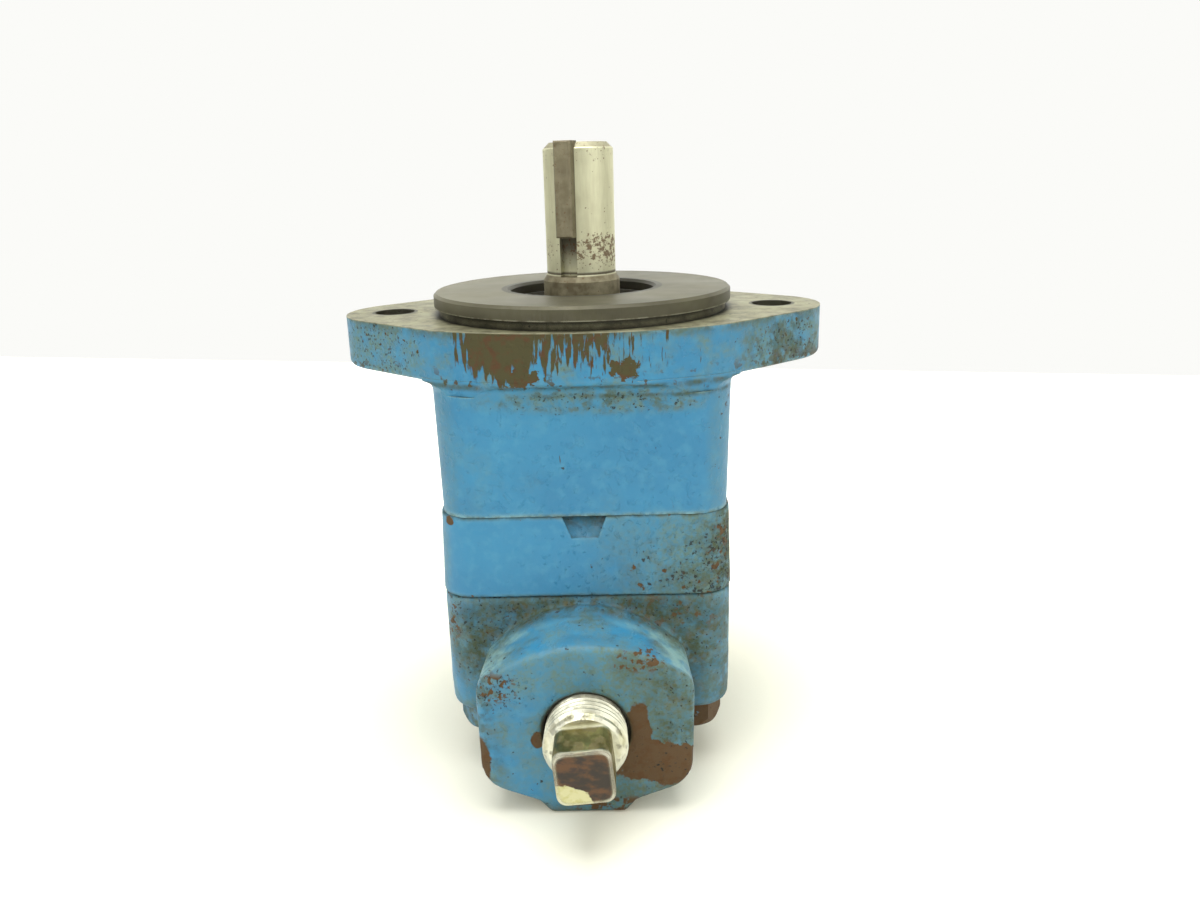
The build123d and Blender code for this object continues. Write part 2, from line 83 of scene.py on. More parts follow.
def rgba(hex_or_rgb):
    """Linear colour with full alpha, from a hex string or a property's three numbers."""
    rgb = linear(hex_or_rgb) if isinstance(hex_or_rgb, str) else list(hex_or_rgb)
    return (*rgb, 1.0)


def add_node(tree, kind, inputs=None, **settings):
    """Adds a shader node; an input given as a socket is linked and any other is set."""
    node = tree.nodes.new("ShaderNode" + kind)
    for name, value in settings.items():
        setattr(node, name, value)
    for key, value in (inputs or {}).items():
        if isinstance(value, bpy.types.NodeSocket):
            tree.links.new(value, node.inputs[key])
        else:
            node.inputs[key].default_value = value
    return node


def start_material(name):
    """Empty node material, its shader, and the Object coordinates in millimetres that its patterns read."""
    material = bpy.data.materials.new(name)
    material.use_nodes = True
    tree = material.node_tree
    metres = add_node(tree, "TexCoord").outputs["Object"]
    place = add_node(tree, "VectorMath", {0: metres, "Scale": 1 / MM}, operation="SCALE").outputs[0]
    return material, tree, tree.nodes["Principled BSDF"], place


def connect(tree, shader, **sockets):
    """Links or sets the shader's sockets, with spaces for underscores."""
    for name, value in sockets.items():
        socket = shader.inputs[name.replace("_", " ")]
        if isinstance(value, bpy.types.NodeSocket):
            tree.links.new(value, socket)
        else:
            socket.default_value = value


def math_of(tree, operation, *values):
    """One arithmetic step on numbers or sockets."""
    return add_node(tree, "Math", dict(enumerate(values)), operation=operation).outputs[0]


def ramp(tree, value, low, high):
    """Soft step from 0 at low to 1 at high."""
    limits = {"Value": value, "From Min": low, "From Max": high}
    return add_node(tree, "MapRange", limits, interpolation_type="SMOOTHSTEP").outputs[0]


def cloud(tree, place, size_mm, seed, stretch=(1, 1, 1), detail=5.0, rough=0.55):
    """Cloudy value from 0 to 1, its lumps about size_mm across, and longer where stretch is under 1."""
    if stretch != (1, 1, 1):
        place = add_node(tree, "Mapping", {"Vector": place, "Scale": stretch}).outputs[0]
    return add_node(tree, "TexNoise", {"Vector": place, "W": seed, "Scale": 1 / size_mm, "Detail": detail,
                                       "Roughness": rough}, noise_dimensions="4D").outputs["Fac"]


def islands(tree, place, size_mm, edge, blur, seed, push=None, gain=0.25, **shape):
    """Ragged islands where the cloud is above edge; push is a mask that makes them grow."""
    value = cloud(tree, place, size_mm, seed, **shape)
    if push is not None:
        value = math_of(tree, "MULTIPLY_ADD", push, gain, value)
    return ramp(tree, value, edge - blur, edge + blur)


def specks(tree, place, cell_mm, amount, seed, widest=0.38):
    """Small ragged dots, one to a cell at most. amount says what share of the cells has one, and widest is
    the largest dot's radius as a share of a cell."""
    warp = add_node(tree, "TexNoise", {"Vector": place, "Scale": 2.2 / cell_mm, "Detail": SMOOTH})
    bent = add_node(tree, "VectorMath", {0: warp.outputs["Color"], 1: [cell_mm * 0.9] * 3, 2: place},
                    operation="MULTIPLY_ADD").outputs[0]
    moved = add_node(tree, "VectorMath", {0: bent, 1: (seed, seed * 1.7, 0)}, operation="ADD").outputs[0]
    dots = add_node(tree, "TexVoronoi", {"Vector": moved, "Scale": 1 / cell_mm})
    luck = add_node(tree, "SeparateColor", {0: dots.outputs["Color"]})
    chosen = math_of(tree, "LESS_THAN", luck.outputs[0], amount)
    reach = math_of(tree, "MULTIPLY_ADD", luck.outputs[1], widest * 0.75, widest * 0.25)
    inside = ramp(tree, math_of(tree, "SUBTRACT", reach, dots.outputs["Distance"]), 0.0, 0.07)
    return math_of(tree, "MULTIPLY", inside, chosen)


def zone(tree, place, centre, radii, blur=0.3, ragged=0.0, seed=0.0, grain=(1, 1, 1)):
    """Mask of an egg-shaped region, in mm, with an edge that noise can make ragged along a grain."""
    scale = [1 / r for r in radii]
    shift = [-c * s for c, s in zip(centre, scale)]
    local = add_node(tree, "Mapping", {"Vector": place, "Location": shift, "Scale": scale}).outputs[0]
    reach = add_node(tree, "VectorMath", {0: local}, operation="LENGTH").outputs["Value"]
    if ragged:
        wobble = math_of(tree, "SUBTRACT", cloud(tree, place, 5, seed, grain, 8.0, 0.65), 0.5)
        reach = math_of(tree, "MULTIPLY_ADD", wobble, -2.6 * ragged, reach)
    return inverse(tree, ramp(tree, reach, 1 - blur, 1 + blur))


def level(tree, place, axis, start, end):
    """Ramp along one axis: 0 at start and 1 at end, in mm."""
    split = add_node(tree, "SeparateXYZ", {0: place}).outputs[axis]
    return add_node(tree, "MapRange", {"Value": split, "From Min": start, "From Max": end}).outputs[0]


def both(tree, *masks):
    """Product of masks and numbers."""
    result = masks[0]
    for mask in masks[1:]:
        result = math_of(tree, "MULTIPLY", result, mask)
    return result


def either(tree, *masks):
    """Largest of several masks."""
    result = masks[0]
    for mask in masks[1:]:
        result = math_of(tree, "MAXIMUM", result, mask)
    return result


def inverse(tree, mask):
    """1 where the mask is 0, and 0 where it is 1."""
    return math_of(tree, "SUBTRACT", 1.0, mask)


def coat(tree, under, over, mask):
    """Colour over another where the mask is 1. A Mix node's colours are its sockets 6 and 7."""
    under, over = (rgba(colour) if isinstance(colour, str) else colour for colour in (under, over))
    return add_node(tree, "Mix", {0: mask, 6: under, 7: over}, data_type="RGBA").outputs[2]


def blend_value(tree, under, over, mask):
    """Number over another where the mask is 1."""
    return add_node(tree, "Mix", {0: mask, 2: under, 3: over}, data_type="FLOAT").outputs[0]


def edge_rub(tree, distance_mm, low, high):
    """Mask of convex edges, where handling rubs the finish thin and where a painted highlight is put."""
    near = add_node(tree, "AmbientOcclusion", {"Distance": distance_mm * MM}, inside=True, only_local=True,
                    samples=8).outputs["AO"]
    return ramp(tree, inverse(tree, near), low, high)


def hollow(tree, distance_mm, low, high):
    """Mask of corners and crevices from ambient occlusion, where dirt gathers and where painted shade is put.
    """
    near = add_node(tree, "AmbientOcclusion", {"Distance": distance_mm * MM}, samples=8).outputs["AO"]
    return ramp(tree, inverse(tree, near), low, high)


# ---- materials ----

class Coating:
    """What one casting's finish starts from, which its wear function then changes. Its masks say where the
    film, grime, bare iron, pits, lumps, worn paint with painted highlight, machined iron and the bores
    painted dark as shade are."""

    def __init__(self, tree, place, finish, seed):
        self.tree, self.place, self.finish, self.seed = tree, place, finish, seed
        self.film = self.grime = self.bare = self.pits = self.lumps = self.worn = None
        self.machined = self.shaded_bores = None
        self.rub, self.rub_width = 0.8, 2.4
        self.iron = finish.bare_iron, finish.rust

    def cloud(self, size_mm, offset, **shape):
        return cloud(self.tree, self.place, size_mm, self.seed + offset, **shape)

    def islands(self, size_mm, edge, blur, offset, push=None, gain=0.25, **shape):
        return islands(self.tree, self.place, size_mm, edge, blur, self.seed + offset, push, gain, **shape)

    def specks(self, cell_mm, amount, offset, widest=0.38):
        return specks(self.tree, self.place, cell_mm, amount, self.seed + offset, widest)

    def zone(self, centre, radii, blur=0.3, ragged=0.0, offset=0.0, grain=(1, 1, 1)):
        return zone(self.tree, self.place, centre, radii, blur, ragged, self.seed + offset, grain)

    def level(self, axis, start, end):
        return level(self.tree, self.place, axis, start, end)

    def both(self, *masks):
        return both(self.tree, *masks)

    def either(self, *masks):
        return either(self.tree, *masks)

    def inverse(self, mask):
        return inverse(self.tree, mask)


def worn_enamel(name, finish, wear, seed):
    """Air-dried enamel, brushed over sand-cast iron. The eye gets a soft sheen with orange peel, a dull olive
    film of old oil, brown iron in the chips, pale paint on edges that is partly rubbed thin and partly a
    painted highlight, and grime in corners that is also painted shade. wear says where, for one casting."""
    material, tree, shader, place = start_material(name)
    coating = Coating(tree, place, finish, seed)
    wear(coating)
    tone = ramp(tree, coating.cloud(24, 1), 0.35, 0.65)
    colour = coat(tree, rgba(finish.enamel_deep), rgba(finish.enamel), tone)
    chalky = both(tree, coating.islands(3.2, 0.58, 0.12, 2), 0.35)
    colour = coat(tree, colour, rgba(finish.enamel_pale), chalky)
    stipple = coating.islands(1.1, 0.50, 0.16, 3, detail=3.0)
    film = both(tree, coating.film, math_of(tree, "MULTIPLY_ADD", stipple, 0.55, 0.45))
    colour = coat(tree, colour, rgba(finish.film), film)
    # Pale edges: paint rubbed thin, and a painted highlight along the convex edges.
    rub = both(tree, edge_rub(tree, coating.rub_width, 0.18, 0.50), coating.rub)
    if coating.worn is not None:
        rub = either(tree, rub, coating.worn)
    rub = both(tree, rub, coating.islands(2.5, 0.44, 0.16, 4))
    colour = coat(tree, colour, rgba(finish.enamel_rubbed), rub)
    # Grime in corners and crevices, which also paints the shade there.
    corner = both(tree, hollow(tree, 9, 0.16, 0.62), coating.islands(5, 0.41, 0.16, 5))
    grime = coating.either(both(tree, corner, 0.9), coating.grime)
    grime_tone = coat(tree, rgba(finish.grime), "57512f", coating.islands(3.5, 0.55, 0.10, 6))
    dabbed = both(tree, grime, math_of(tree, "MULTIPLY_ADD", stipple, 0.3, 0.65))
    colour = coat(tree, colour, grime_tone, dabbed)
    iron = coat(tree, rgba(coating.iron[0]), rgba(coating.iron[1]), coating.islands(2.4, 0.56, 0.10, 7))
    colour = coat(tree, colour, iron, coating.bare)
    pit_tone = coat(tree, "262a26", "4f3924", coating.islands(4, 0.6, 0.05, 8))
    colour = coat(tree, colour, pit_tone, both(tree, coating.pits, 0.9))
    peel = both(tree, coating.cloud(1.5, 9, detail=SMOOTH), 0.30)
    height = math_of(tree, "MULTIPLY_ADD", coating.cloud(6, 10, detail=3.0), 0.75, peel)
    if coating.lumps is not None:
        height = math_of(tree, "ADD", height, coating.lumps)
    height = math_of(tree, "MULTIPLY_ADD", coating.bare, -0.25, height)
    height = math_of(tree, "MULTIPLY_ADD", coating.pits, -0.40, height)
    grit = both(tree, coating.cloud(0.8, 11, detail=SMOOTH), coating.either(film, grime), 0.35)
    height = math_of(tree, "ADD", height, grit)
    dull = coating.either(film, grime, coating.bare)
    roughness = blend_value(tree, 0.36, 0.62, dull)
    specular = blend_value(tree, 0.5, 0.18, dull)
    metallic = 0.0
    if coating.machined is not None:
        colour, roughness, metallic = oiled_iron(coating, colour, roughness)
        height = both(tree, height, inverse(tree, coating.machined))
    bump = add_node(tree, "Bump", {"Height": height, "Strength": 0.6, "Distance": 0.5 * MM})
    connect(tree, shader, Base_Color=colour, Roughness=roughness, Metallic=metallic,
            Specular_IOR_Level=specular, Normal=bump.outputs[0], IOR=1.5)
    return material


def oiled_iron(coating, colour, roughness):
    """Turned grey iron gone dark under oil, over the enamel where the coating is machined. The eye gets a
    dull brown-grey with dusty spots on the flange, pale rims that are partly wear and partly painted
    highlight, hollows darkened as painted shade, and bores painted nearly black as shade."""
    tree, place, finish, mask = coating.tree, coating.place, coating.finish, coating.machined
    tone = ramp(tree, cloud(tree, place, 20, 30.0), 0.3, 0.7)
    iron = coat(tree, rgba(finish.iron_dark), rgba(finish.iron_pale), tone)
    on_flange = level(tree, place, Z, 2.0, 1.0)
    dusty = islands(tree, place, 5, 0.47, 0.20, 31.0, detail=RAGGED, rough=0.65)
    iron = coat(tree, iron, rgba(finish.iron_dusty), both(tree, on_flange, dusty, 0.9))
    iron = coat(tree, iron, "35332b", both(tree, specks(tree, place, 1.6, 0.25, 32.0), on_flange, 0.75))
    left = both(tree, level(tree, place, X, 0, -45), level(tree, place, Z, 2, 4.8))
    iron = coat(tree, iron, "83806a", both(tree, left, 0.5))
    # Pale rims on convex edges: partly worn iron, partly a painted highlight.
    rim = both(tree, edge_rub(tree, 0.9, 0.25, 0.5), islands(tree, place, 3, 0.45, 0.1, 33.0))
    iron = coat(tree, iron, "a7a58c", both(tree, rim, 0.7))
    # Painted shade: the hollows of the machined iron are darkened.
    iron = coat(tree, iron, "26241c", hollow(tree, 4, 0.30, 0.62))
    # Painted shade: the bores are coloured nearly black.
    if coating.shaded_bores is not None:
        iron = coat(tree, iron, "2b2921", both(tree, coating.shaded_bores, 0.8))
    colour = coat(tree, colour, iron, mask)
    oil = cloud(tree, place, 14, 34.0, detail=SMOOTH)
    roughness = blend_value(tree, roughness, math_of(tree, "MULTIPLY_ADD", oil, 0.2, 0.34), mask)
    return colour, roughness, both(tree, mask, 0.35)


def body_wear(c):
    """Scraped, grimy front of the flange, rusty lower edges of the ears, grime and painted shade under them,
    machined top.
    """
    c.iron = "4c482e", "563f29"
    hole_x, hole_r, bore_r = 53.2, 6.4, 22.5
    bores = [c.zone((0, 0, 0), (bore_r, bore_r, ENDLESS), 0.01)]
    bores += [c.zone((x, 0, 0), (hole_r, hole_r, ENDLESS), 0.02) for x in (-hole_x, hole_x)]
    inlet = c.both(c.zone((0, 40, -29), (16.9, ENDLESS, 16.9), 0.01), c.level(Y, 20, 22))
    # Bores and the inlet are machined; oiled_iron paints them nearly black as shade.
    c.shaded_bores = c.either(inlet, *bores)
    c.machined = c.either(c.level(Z, -0.35, -0.1), c.shaded_bores)
    front = c.level(Y, -28, -34)
    side = c.both(c.level(Z, -14.6, -13.4), c.level(Y, 5, 0))
    left_ear = c.zone((-52, -18, -7), (20, 18, 9), 0.5)
    right_ear = c.zone((54, -18, -8), (16, 18, 9), 0.5)
    handled = c.either(left_ear, right_ear, c.both(front, 0.15))
    scuffed = c.islands(5, 0.60, 0.16, 21, push=handled, gain=0.18, detail=RAGGED)
    ledge = c.both(c.zone((9, -39, -17.6), (33, 3, 3.2), 0.5), c.level(Y, -36, -38),
                   c.islands(3, 0.44, 0.14, 22, detail=RAGGED))
    # Crease under the ears and the flange front: grime, and painted shade where they overhang.
    under_ears = c.both(c.level(Z, -12.9, -13.6), c.level(Z, -15.2, -14.2))
    under_front = c.both(c.level(Z, -15.8, -16.4), c.level(Z, -17.6, -16.8), c.level(X, -18, 6))
    crease_grime_and_shade = c.both(c.either(under_ears, under_front), c.islands(5, 0.44, 0.12, 25, detail=RAGGED),
                    c.level(Y, 34, 28))
    corners = c.both(c.either(*(c.zone((x, -36, -34), (5, 7, 26)) for x in (-37, 37))), 0.30)
    c.film = c.either(c.both(side, scuffed, 0.85), c.both(ledge, 0.85), corners,
                      c.both(c.islands(14, 0.60, 0.08, 23), 0.22))
    top_line = c.both(c.level(Z, -2.8, -0.6), c.islands(6, 0.40, 0.12, 24, stretch=(0.6, 1, 1)), side)
    c.grime = c.either(c.both(top_line, 0.75), c.both(crease_grime_and_shade, 0.85),
                       c.both(ledge, c.islands(2.2, 0.54, 0.06, 37), 0.7),
                       c.both(c.level(Z, -47.6, -48.5), c.islands(3, 0.48, 0.1, 26), 0.8),
                       c.both(right_ear, c.islands(4, 0.52, 0.08, 38), 0.8))
    streak = dict(stretch=(1, 1, 0.17), detail=6.0)
    around = c.zone((-20.5, -42, -3.2), (11.5, 9, 9.5), 0.95)
    patch = c.islands(1.5, 0.80, 0.03, 27, push=around, gain=0.58, **streak)
    around = c.zone((-3, -42, -1.0), (16, 9, 8.5), 0.95)
    beside = c.islands(0.9, 0.76, 0.03, 28, push=around, gain=0.34, **streak)
    around = c.zone((6, -42, -3), (30, 9, 9), 0.8)
    scratches = c.islands(0.7, 0.74, 0.03, 29, push=around, gain=0.15, stretch=(1, 1, 0.10))
    around = c.either(c.zone((11.5, -42, -9.0), (4, 6, 3), 0.9), c.zone((-14, -42, -11), (5, 6, 3), 0.9))
    lone = c.islands(1.8, 0.74, 0.02, 31, push=around, gain=0.42)
    low_edges = c.both(c.level(Z, -8.0, -13.4), side,
                       c.islands(2.6, 0.60, 0.02, 32, push=c.level(X, 30, 62), gain=0.12))
    ears = c.either(left_ear, right_ear)
    spots = c.both(side, c.islands(1.3, 0.72, 0.03, 33, push=ears, gain=0.09, detail=RAGGED))
    c.bare = c.either(patch, beside, scratches, lone, low_edges, spots)
    neck_corners = c.either(c.zone((-38, -34, -36), (4, 8, 16)), c.zone((38, -34, -36), (4, 8, 20)))
    c.pits = c.either(c.specks(3.4, 0.16, 34, 0.15),
                      c.both(front, c.zone((10, -40, -18), (36, 8, 4)), c.specks(1.6, 0.5, 35)),
                      c.specks(2.0, c.both(neck_corners, 0.5), 36, 0.30),
                      c.islands(0.9, 0.74, 0.02, 39, push=c.either(ledge, left_ear, right_ear), gain=0.14))
    c.lumps = c.both(c.islands(2.0, 0.60, 0.06, 30), 0.5)


def ring_wear(c):
    """Clean on the left; pitted and filmed over towards the right end and round the right corner; painted
    shade in the notch.
    """
    c.rub = 0.4
    right = c.both(c.level(X, 0, 34), c.level(Z, -48, -58))
    end = c.zone((40, -30, -60), (11, 22, 16), 0.5)
    patchy = c.islands(8, 0.50, 0.12, 40, push=right, gain=0.24, detail=RAGGED)
    c.film = c.either(c.both(patchy, c.level(X, -6, 28), 0.85), c.both(end, 0.9),
                      c.both(c.zone((-39, -32, -60), (4, 8, 12)), 0.35))
    seam = c.both(c.either(c.level(Z, -49.6, -48.8), c.level(Z, -69.8, -70.6)), c.islands(4, 0.42, 0.1, 41))
    # Painted shade: the notch is darkened, through the grime mask, to look shadowed.
    notch = c.both(c.zone((0, -37.3, -50.5), (7.5, 0.7, 5.0), 0.1), c.level(Z, -54.6, -48.5),
                   c.islands(3, 0.30, 0.3, 50))
    c.grime = c.either(c.both(seam, 0.8), c.both(end, c.islands(3, 0.44, 0.1, 42)), notch,
                       c.both(right, c.islands(6, 0.50, 0.08, 47), 0.75))
    c.bare = c.either(c.islands(3.2, 0.70, 0.015, 43, push=c.either(right, end), gain=0.10, detail=RAGGED),
                      c.zone((-35.5, -38, -50), (1.6, 4, 1.5), 0.1, 0.5, 44))
    pitted = c.either(right, end)
    c.pits = c.either(c.specks(1.5, c.both(pitted, 0.55), 45, 0.36), c.specks(4.5, 0.2, 46, 0.14),
                      c.islands(0.9, 0.78, 0.02, 48, push=pitted, gain=0.22))
    c.lumps = c.both(c.islands(1.6, 0.70, 0.06, 49, push=c.level(X, -30, 30), gain=0.14), 0.7)


def cover_wear(c):
    """Oily dirt and painted shade above and beside the boss, pits all over its face, and bare iron round the
    outlet plug.
    """
    # Stronger, wider pale edges on the cover: rubbed paint and painted highlight.
    c.rub, c.rub_width = 1.0, 3.4
    # The machined ring round the plug goes dark from oiled_iron's painted shade in hollows.
    c.machined = c.both(c.zone((-0.5, -58, -100.1), (11.9, ENDLESS, 11.9), 0.01), c.level(Y, -57.9, -57.6),
                        c.level(Y, -30, -31))
    face = c.level(Y, -55.5, -57.2)
    side = c.level(Y, -57.2, -55.5)
    # Above and beside the boss: oily dirt in the corner under the ring, darkened also as painted shade.
    above = c.zone((2, -40, -75.5), (42, 5, 6.5), 0.5)
    flanks = c.either(c.zone((-29, -40, -84), (11, 8, 13), 0.6), c.zone((29, -40, -83), (12, 8, 14), 0.6))
    right_wall = c.level(X, 20, 40)
    crest = c.zone((0, -46, -80), (32, 9, 8), 0.5)
    sheltered = c.islands(7, 0.50, 0.14, 60, push=c.either(right_wall, flanks), gain=0.12, detail=RAGGED)
    patchy = c.islands(9, 0.66, 0.14, 61, push=c.level(X, -20, 12), gain=0.32, detail=RAGGED)
    c.film = c.either(c.both(sheltered, 0.7), c.both(face, patchy, 0.9),
                      c.both(face, c.level(Z, -93, -88), c.islands(7, 0.44, 0.14, 78), 0.8),
                      c.both(c.level(X, 30, 40), 0.7))
    outside = c.both(c.zone((0, -40, -91), (37, 5, 22), 0.25), c.islands(4, 0.46, 0.12, 55),
                     c.inverse(c.zone((0, -46, -90), (29, 30, 14.6), 0.08)))
    c.grime = c.either(c.both(outside, side, 0.85), c.both(above, c.islands(5, 0.38, 0.16, 62)),
                       c.both(flanks, c.islands(4, 0.44, 0.12, 63), 0.95),
                       c.both(right_wall, c.islands(5, 0.47, 0.1, 64), 0.9),
                       c.both(crest, side, c.islands(6, 0.53, 0.08, 65, stretch=(0.4, 1, 1)), 0.75),
                       c.both(face, c.level(X, 6, 20), c.islands(5, 0.46, 0.12, 66), 0.85),
                       c.both(face, c.level(X, -20, -26), c.islands(3, 0.46, 0.12, 56), 0.7),
                       c.both(face, c.islands(12, 0.44, 0.12, 77, detail=RAGGED), c.level(X, -10, 8), 0.55),
                       c.both(side, c.level(Z, -102.5, -104.5), c.islands(6, 0.42, 0.16, 57), 0.7))
    patch = c.both(c.zone((19, -58, -109), (12.5, 8, 6.0), 0.04, 0.5, 67), face)
    rim = c.both(c.zone((12.5, -58, -100), (3.6, 8, 8.5), 0.06, 0.45, 68), face)
    left_low = c.both(c.zone((-27.5, -58, -108), (2.2, 8, 6.5), 0.1, 0.5, 69), face)
    left_rim = c.both(c.zone((-13, -58, -102), (1.8, 8, 2.6), 0.1, 0.5, 70), face)
    lips = c.both(c.either(c.zone((14, -57, -80), (9, 5, 3.0)), c.zone((-24, -57, -87), (7, 5, 4))),
                  c.islands(1.6, 0.55, 0.02, 71, detail=RAGGED))
    foot = c.both(c.zone((8, -58, -122), (12, 8, 3), 0.3), c.islands(2.4, 0.50, 0.02, 72))
    c.bare = c.either(patch, rim, left_low, left_rim, lips, foot,
                      c.both(above, c.level(X, 4, 26), c.islands(2.6, 0.58, 0.02, 73)),
                      c.both(c.zone((-38, -36, -78), (4, 6, 8)), c.islands(2.2, 0.56, 0.02, 74)))
    # Pale band along the boss's crest and patches on its upper slope: rubbed paint, and a painted highlight.
    crest_rub_and_highlight = c.both(c.zone((0, -46, -90), (29.5, 7, 15.4), 0.08),
                  c.inverse(c.zone((0, -46, -90.5), (26.5, 30, 13.0), 0.12)), c.islands(3, 0.40, 0.2, 58))
    c.worn = c.both(side, c.either(c.both(c.zone((-22, -50, -86), (10, 10, 6)), 0.9),
                                   c.both(c.zone((23, -50, -86), (10, 10, 7)), 0.9), crest_rub_and_highlight))
    few = c.both(face, 0.30)
    many = c.either(c.both(face, c.level(X, 2, 20), 0.50), c.both(c.zone((-22, -52, -88), (10, 12, 7)), 0.6),
                    c.both(c.zone((-30, -40, -76), (14, 6, 10)), 0.6), c.both(flanks, 0.5), 0.06)
    c.pits = c.either(c.specks(2.1, c.either(few, many), 75, 0.26),
                      c.specks(1.2, c.both(many, 0.7), 76, 0.36),
                      c.islands(0.9, 0.76, 0.03, 79, push=c.either(many, c.both(above, 0.6)), gain=0.24))
    c.lumps = c.both(c.islands(1.8, 0.62, 0.06, 59), 0.5)


def head_wear(c):
    """Screw heads: painted over, filmed, and brown on the right-hand ones."""
    c.film = c.both(c.islands(4, 0.44, 0.12, 90), 0.9)
    c.grime = c.both(c.islands(3, 0.46, 0.12, 91), 0.7)
    c.bare = c.both(c.islands(3, 0.50, 0.03, 92, push=c.level(X, 0, 30), gain=0.15), c.level(X, -36, 10))
    c.pits = c.specks(1.6, 0.3, 93)


def ground_steel(name, pale, dark, rough=0.28, lay=(1, 1, 0.15), metal=1.0, stain=0.0, wear=None):
    """Ground or drawn steel. The eye gets a bright metal with fine lines along its lay, drawn coarser than
    real ones so that they show. wear gives masks for brown freckles, a dull oily coat, and a dark brown mask
    that is mostly painted shade."""
    material, tree, shader, place = start_material(name)
    lines = cloud(tree, place, 0.8, 1.0, stretch=lay, detail=4.0)
    colour = coat(tree, dark, pale, ramp(tree, lines, 0.25, 0.7))
    roughness = math_of(tree, "MULTIPLY_ADD", lines, rough * 0.3, rough * 0.85)
    metallic = metal
    if stain:
        tarnish = islands(tree, place, 7, 0.55, 0.16, 3.0)
        colour = coat(tree, colour, "8b8468", both(tree, tarnish, stain))
    if wear:
        field, dull, dirt = wear(tree, place)
        oily = coat(tree, "6c634a", "8d866b", ramp(tree, cloud(tree, place, 3, 7.0), 0.35, 0.65))
        colour = coat(tree, colour, oily, dull)
        # The dark mask: painted shade in the keyway and the key's corners, and a dark line above the
        # shoulder.
        colour = coat(tree, colour, "3f3424", dirt)
        freckles = either(tree, both(tree, specks(tree, place, 0.7, both(tree, field, 0.6), 4.0, 0.36), 0.9),
                          islands(tree, place, 0.9, 0.76, 0.05, 5.0, push=field, gain=0.25, detail=RAGGED))
        rust = coat(tree, "54402a", "74512f", cloud(tree, place, 1.5, 6.0))
        colour = coat(tree, colour, rust, both(tree, freckles, 0.85))
        rusty = either(tree, freckles, dirt)
        roughness = blend_value(tree, blend_value(tree, roughness, 0.55, dull), 0.75, rusty)
        metallic = blend_value(tree, blend_value(tree, metal, 0.45, dull), 0.0, rusty)
    bump = add_node(tree, "Bump", {"Height": lines, "Strength": 0.12, "Distance": 0.05 * MM})
    connect(tree, shader, Base_Color=colour, Roughness=roughness, Metallic=metallic, Normal=bump.outputs[0])
    return material


def shaft_wear(tree, place):
    """Freckles thick at the foot of the keyed end, an oily shoulder, painted shade in the keyway below the
    key, and a dark line just above the shoulder.
    """
    low, high = (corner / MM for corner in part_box("shaft_key"))
    key_angle, half_key = math.atan2(low.y + high.y, low.x + high.x), 2.4
    turned = add_node(tree, "VectorRotate", {"Vector": place, "Angle": -math.pi / 2 - key_angle},
                      rotation_type="Z_AXIS").outputs[0]
    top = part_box("shaft")[1].z / MM
    foot = zone(tree, place, (8, -7, 16.5), (14, 14, 5.2), 0.7)
    left = zone(tree, place, (-11, -6, 16.5), (4, 6, 3.5), 0.8)
    crown = both(tree, level(tree, place, Z, top - 7, top - 2), 0.55)
    field = either(tree, foot, left, crown, 0.12)
    shoulder = level(tree, place, Z, 9.9, 9.5)
    chamfer = both(tree, level(tree, place, Z, top - 1.5, top - 1.3), 0.65)
    # Painted shade: the keyway below the key is darkened.
    keyway_shade = both(tree, level(tree, turned, X, -half_key - 0.1, -half_key),
                level(tree, turned, X, half_key + 0.1, half_key), level(tree, turned, Y, -5, -6),
                level(tree, place, Z, low.z - 9, low.z - 3))
    line = both(tree, level(tree, place, Z, 9.9, 10.0), level(tree, place, Z, 10.8, 10.4))
    return field, either(tree, shoulder, chamfer), both(tree, either(tree, keyway_shade, line), 0.85)


def key_wear(tree, place):
    """Patchy brown rust all over the key."""
    rusty = both(tree, cloud(tree, place, 6, 7.0), 0.7)
    dull = both(tree, islands(tree, place, 4, 0.45, 0.2, 8.0), 0.8)
    # Painted shade in the key's corners.
    return rusty, dull, both(tree, hollow(tree, 3, 0.4, 0.8), 0.6)


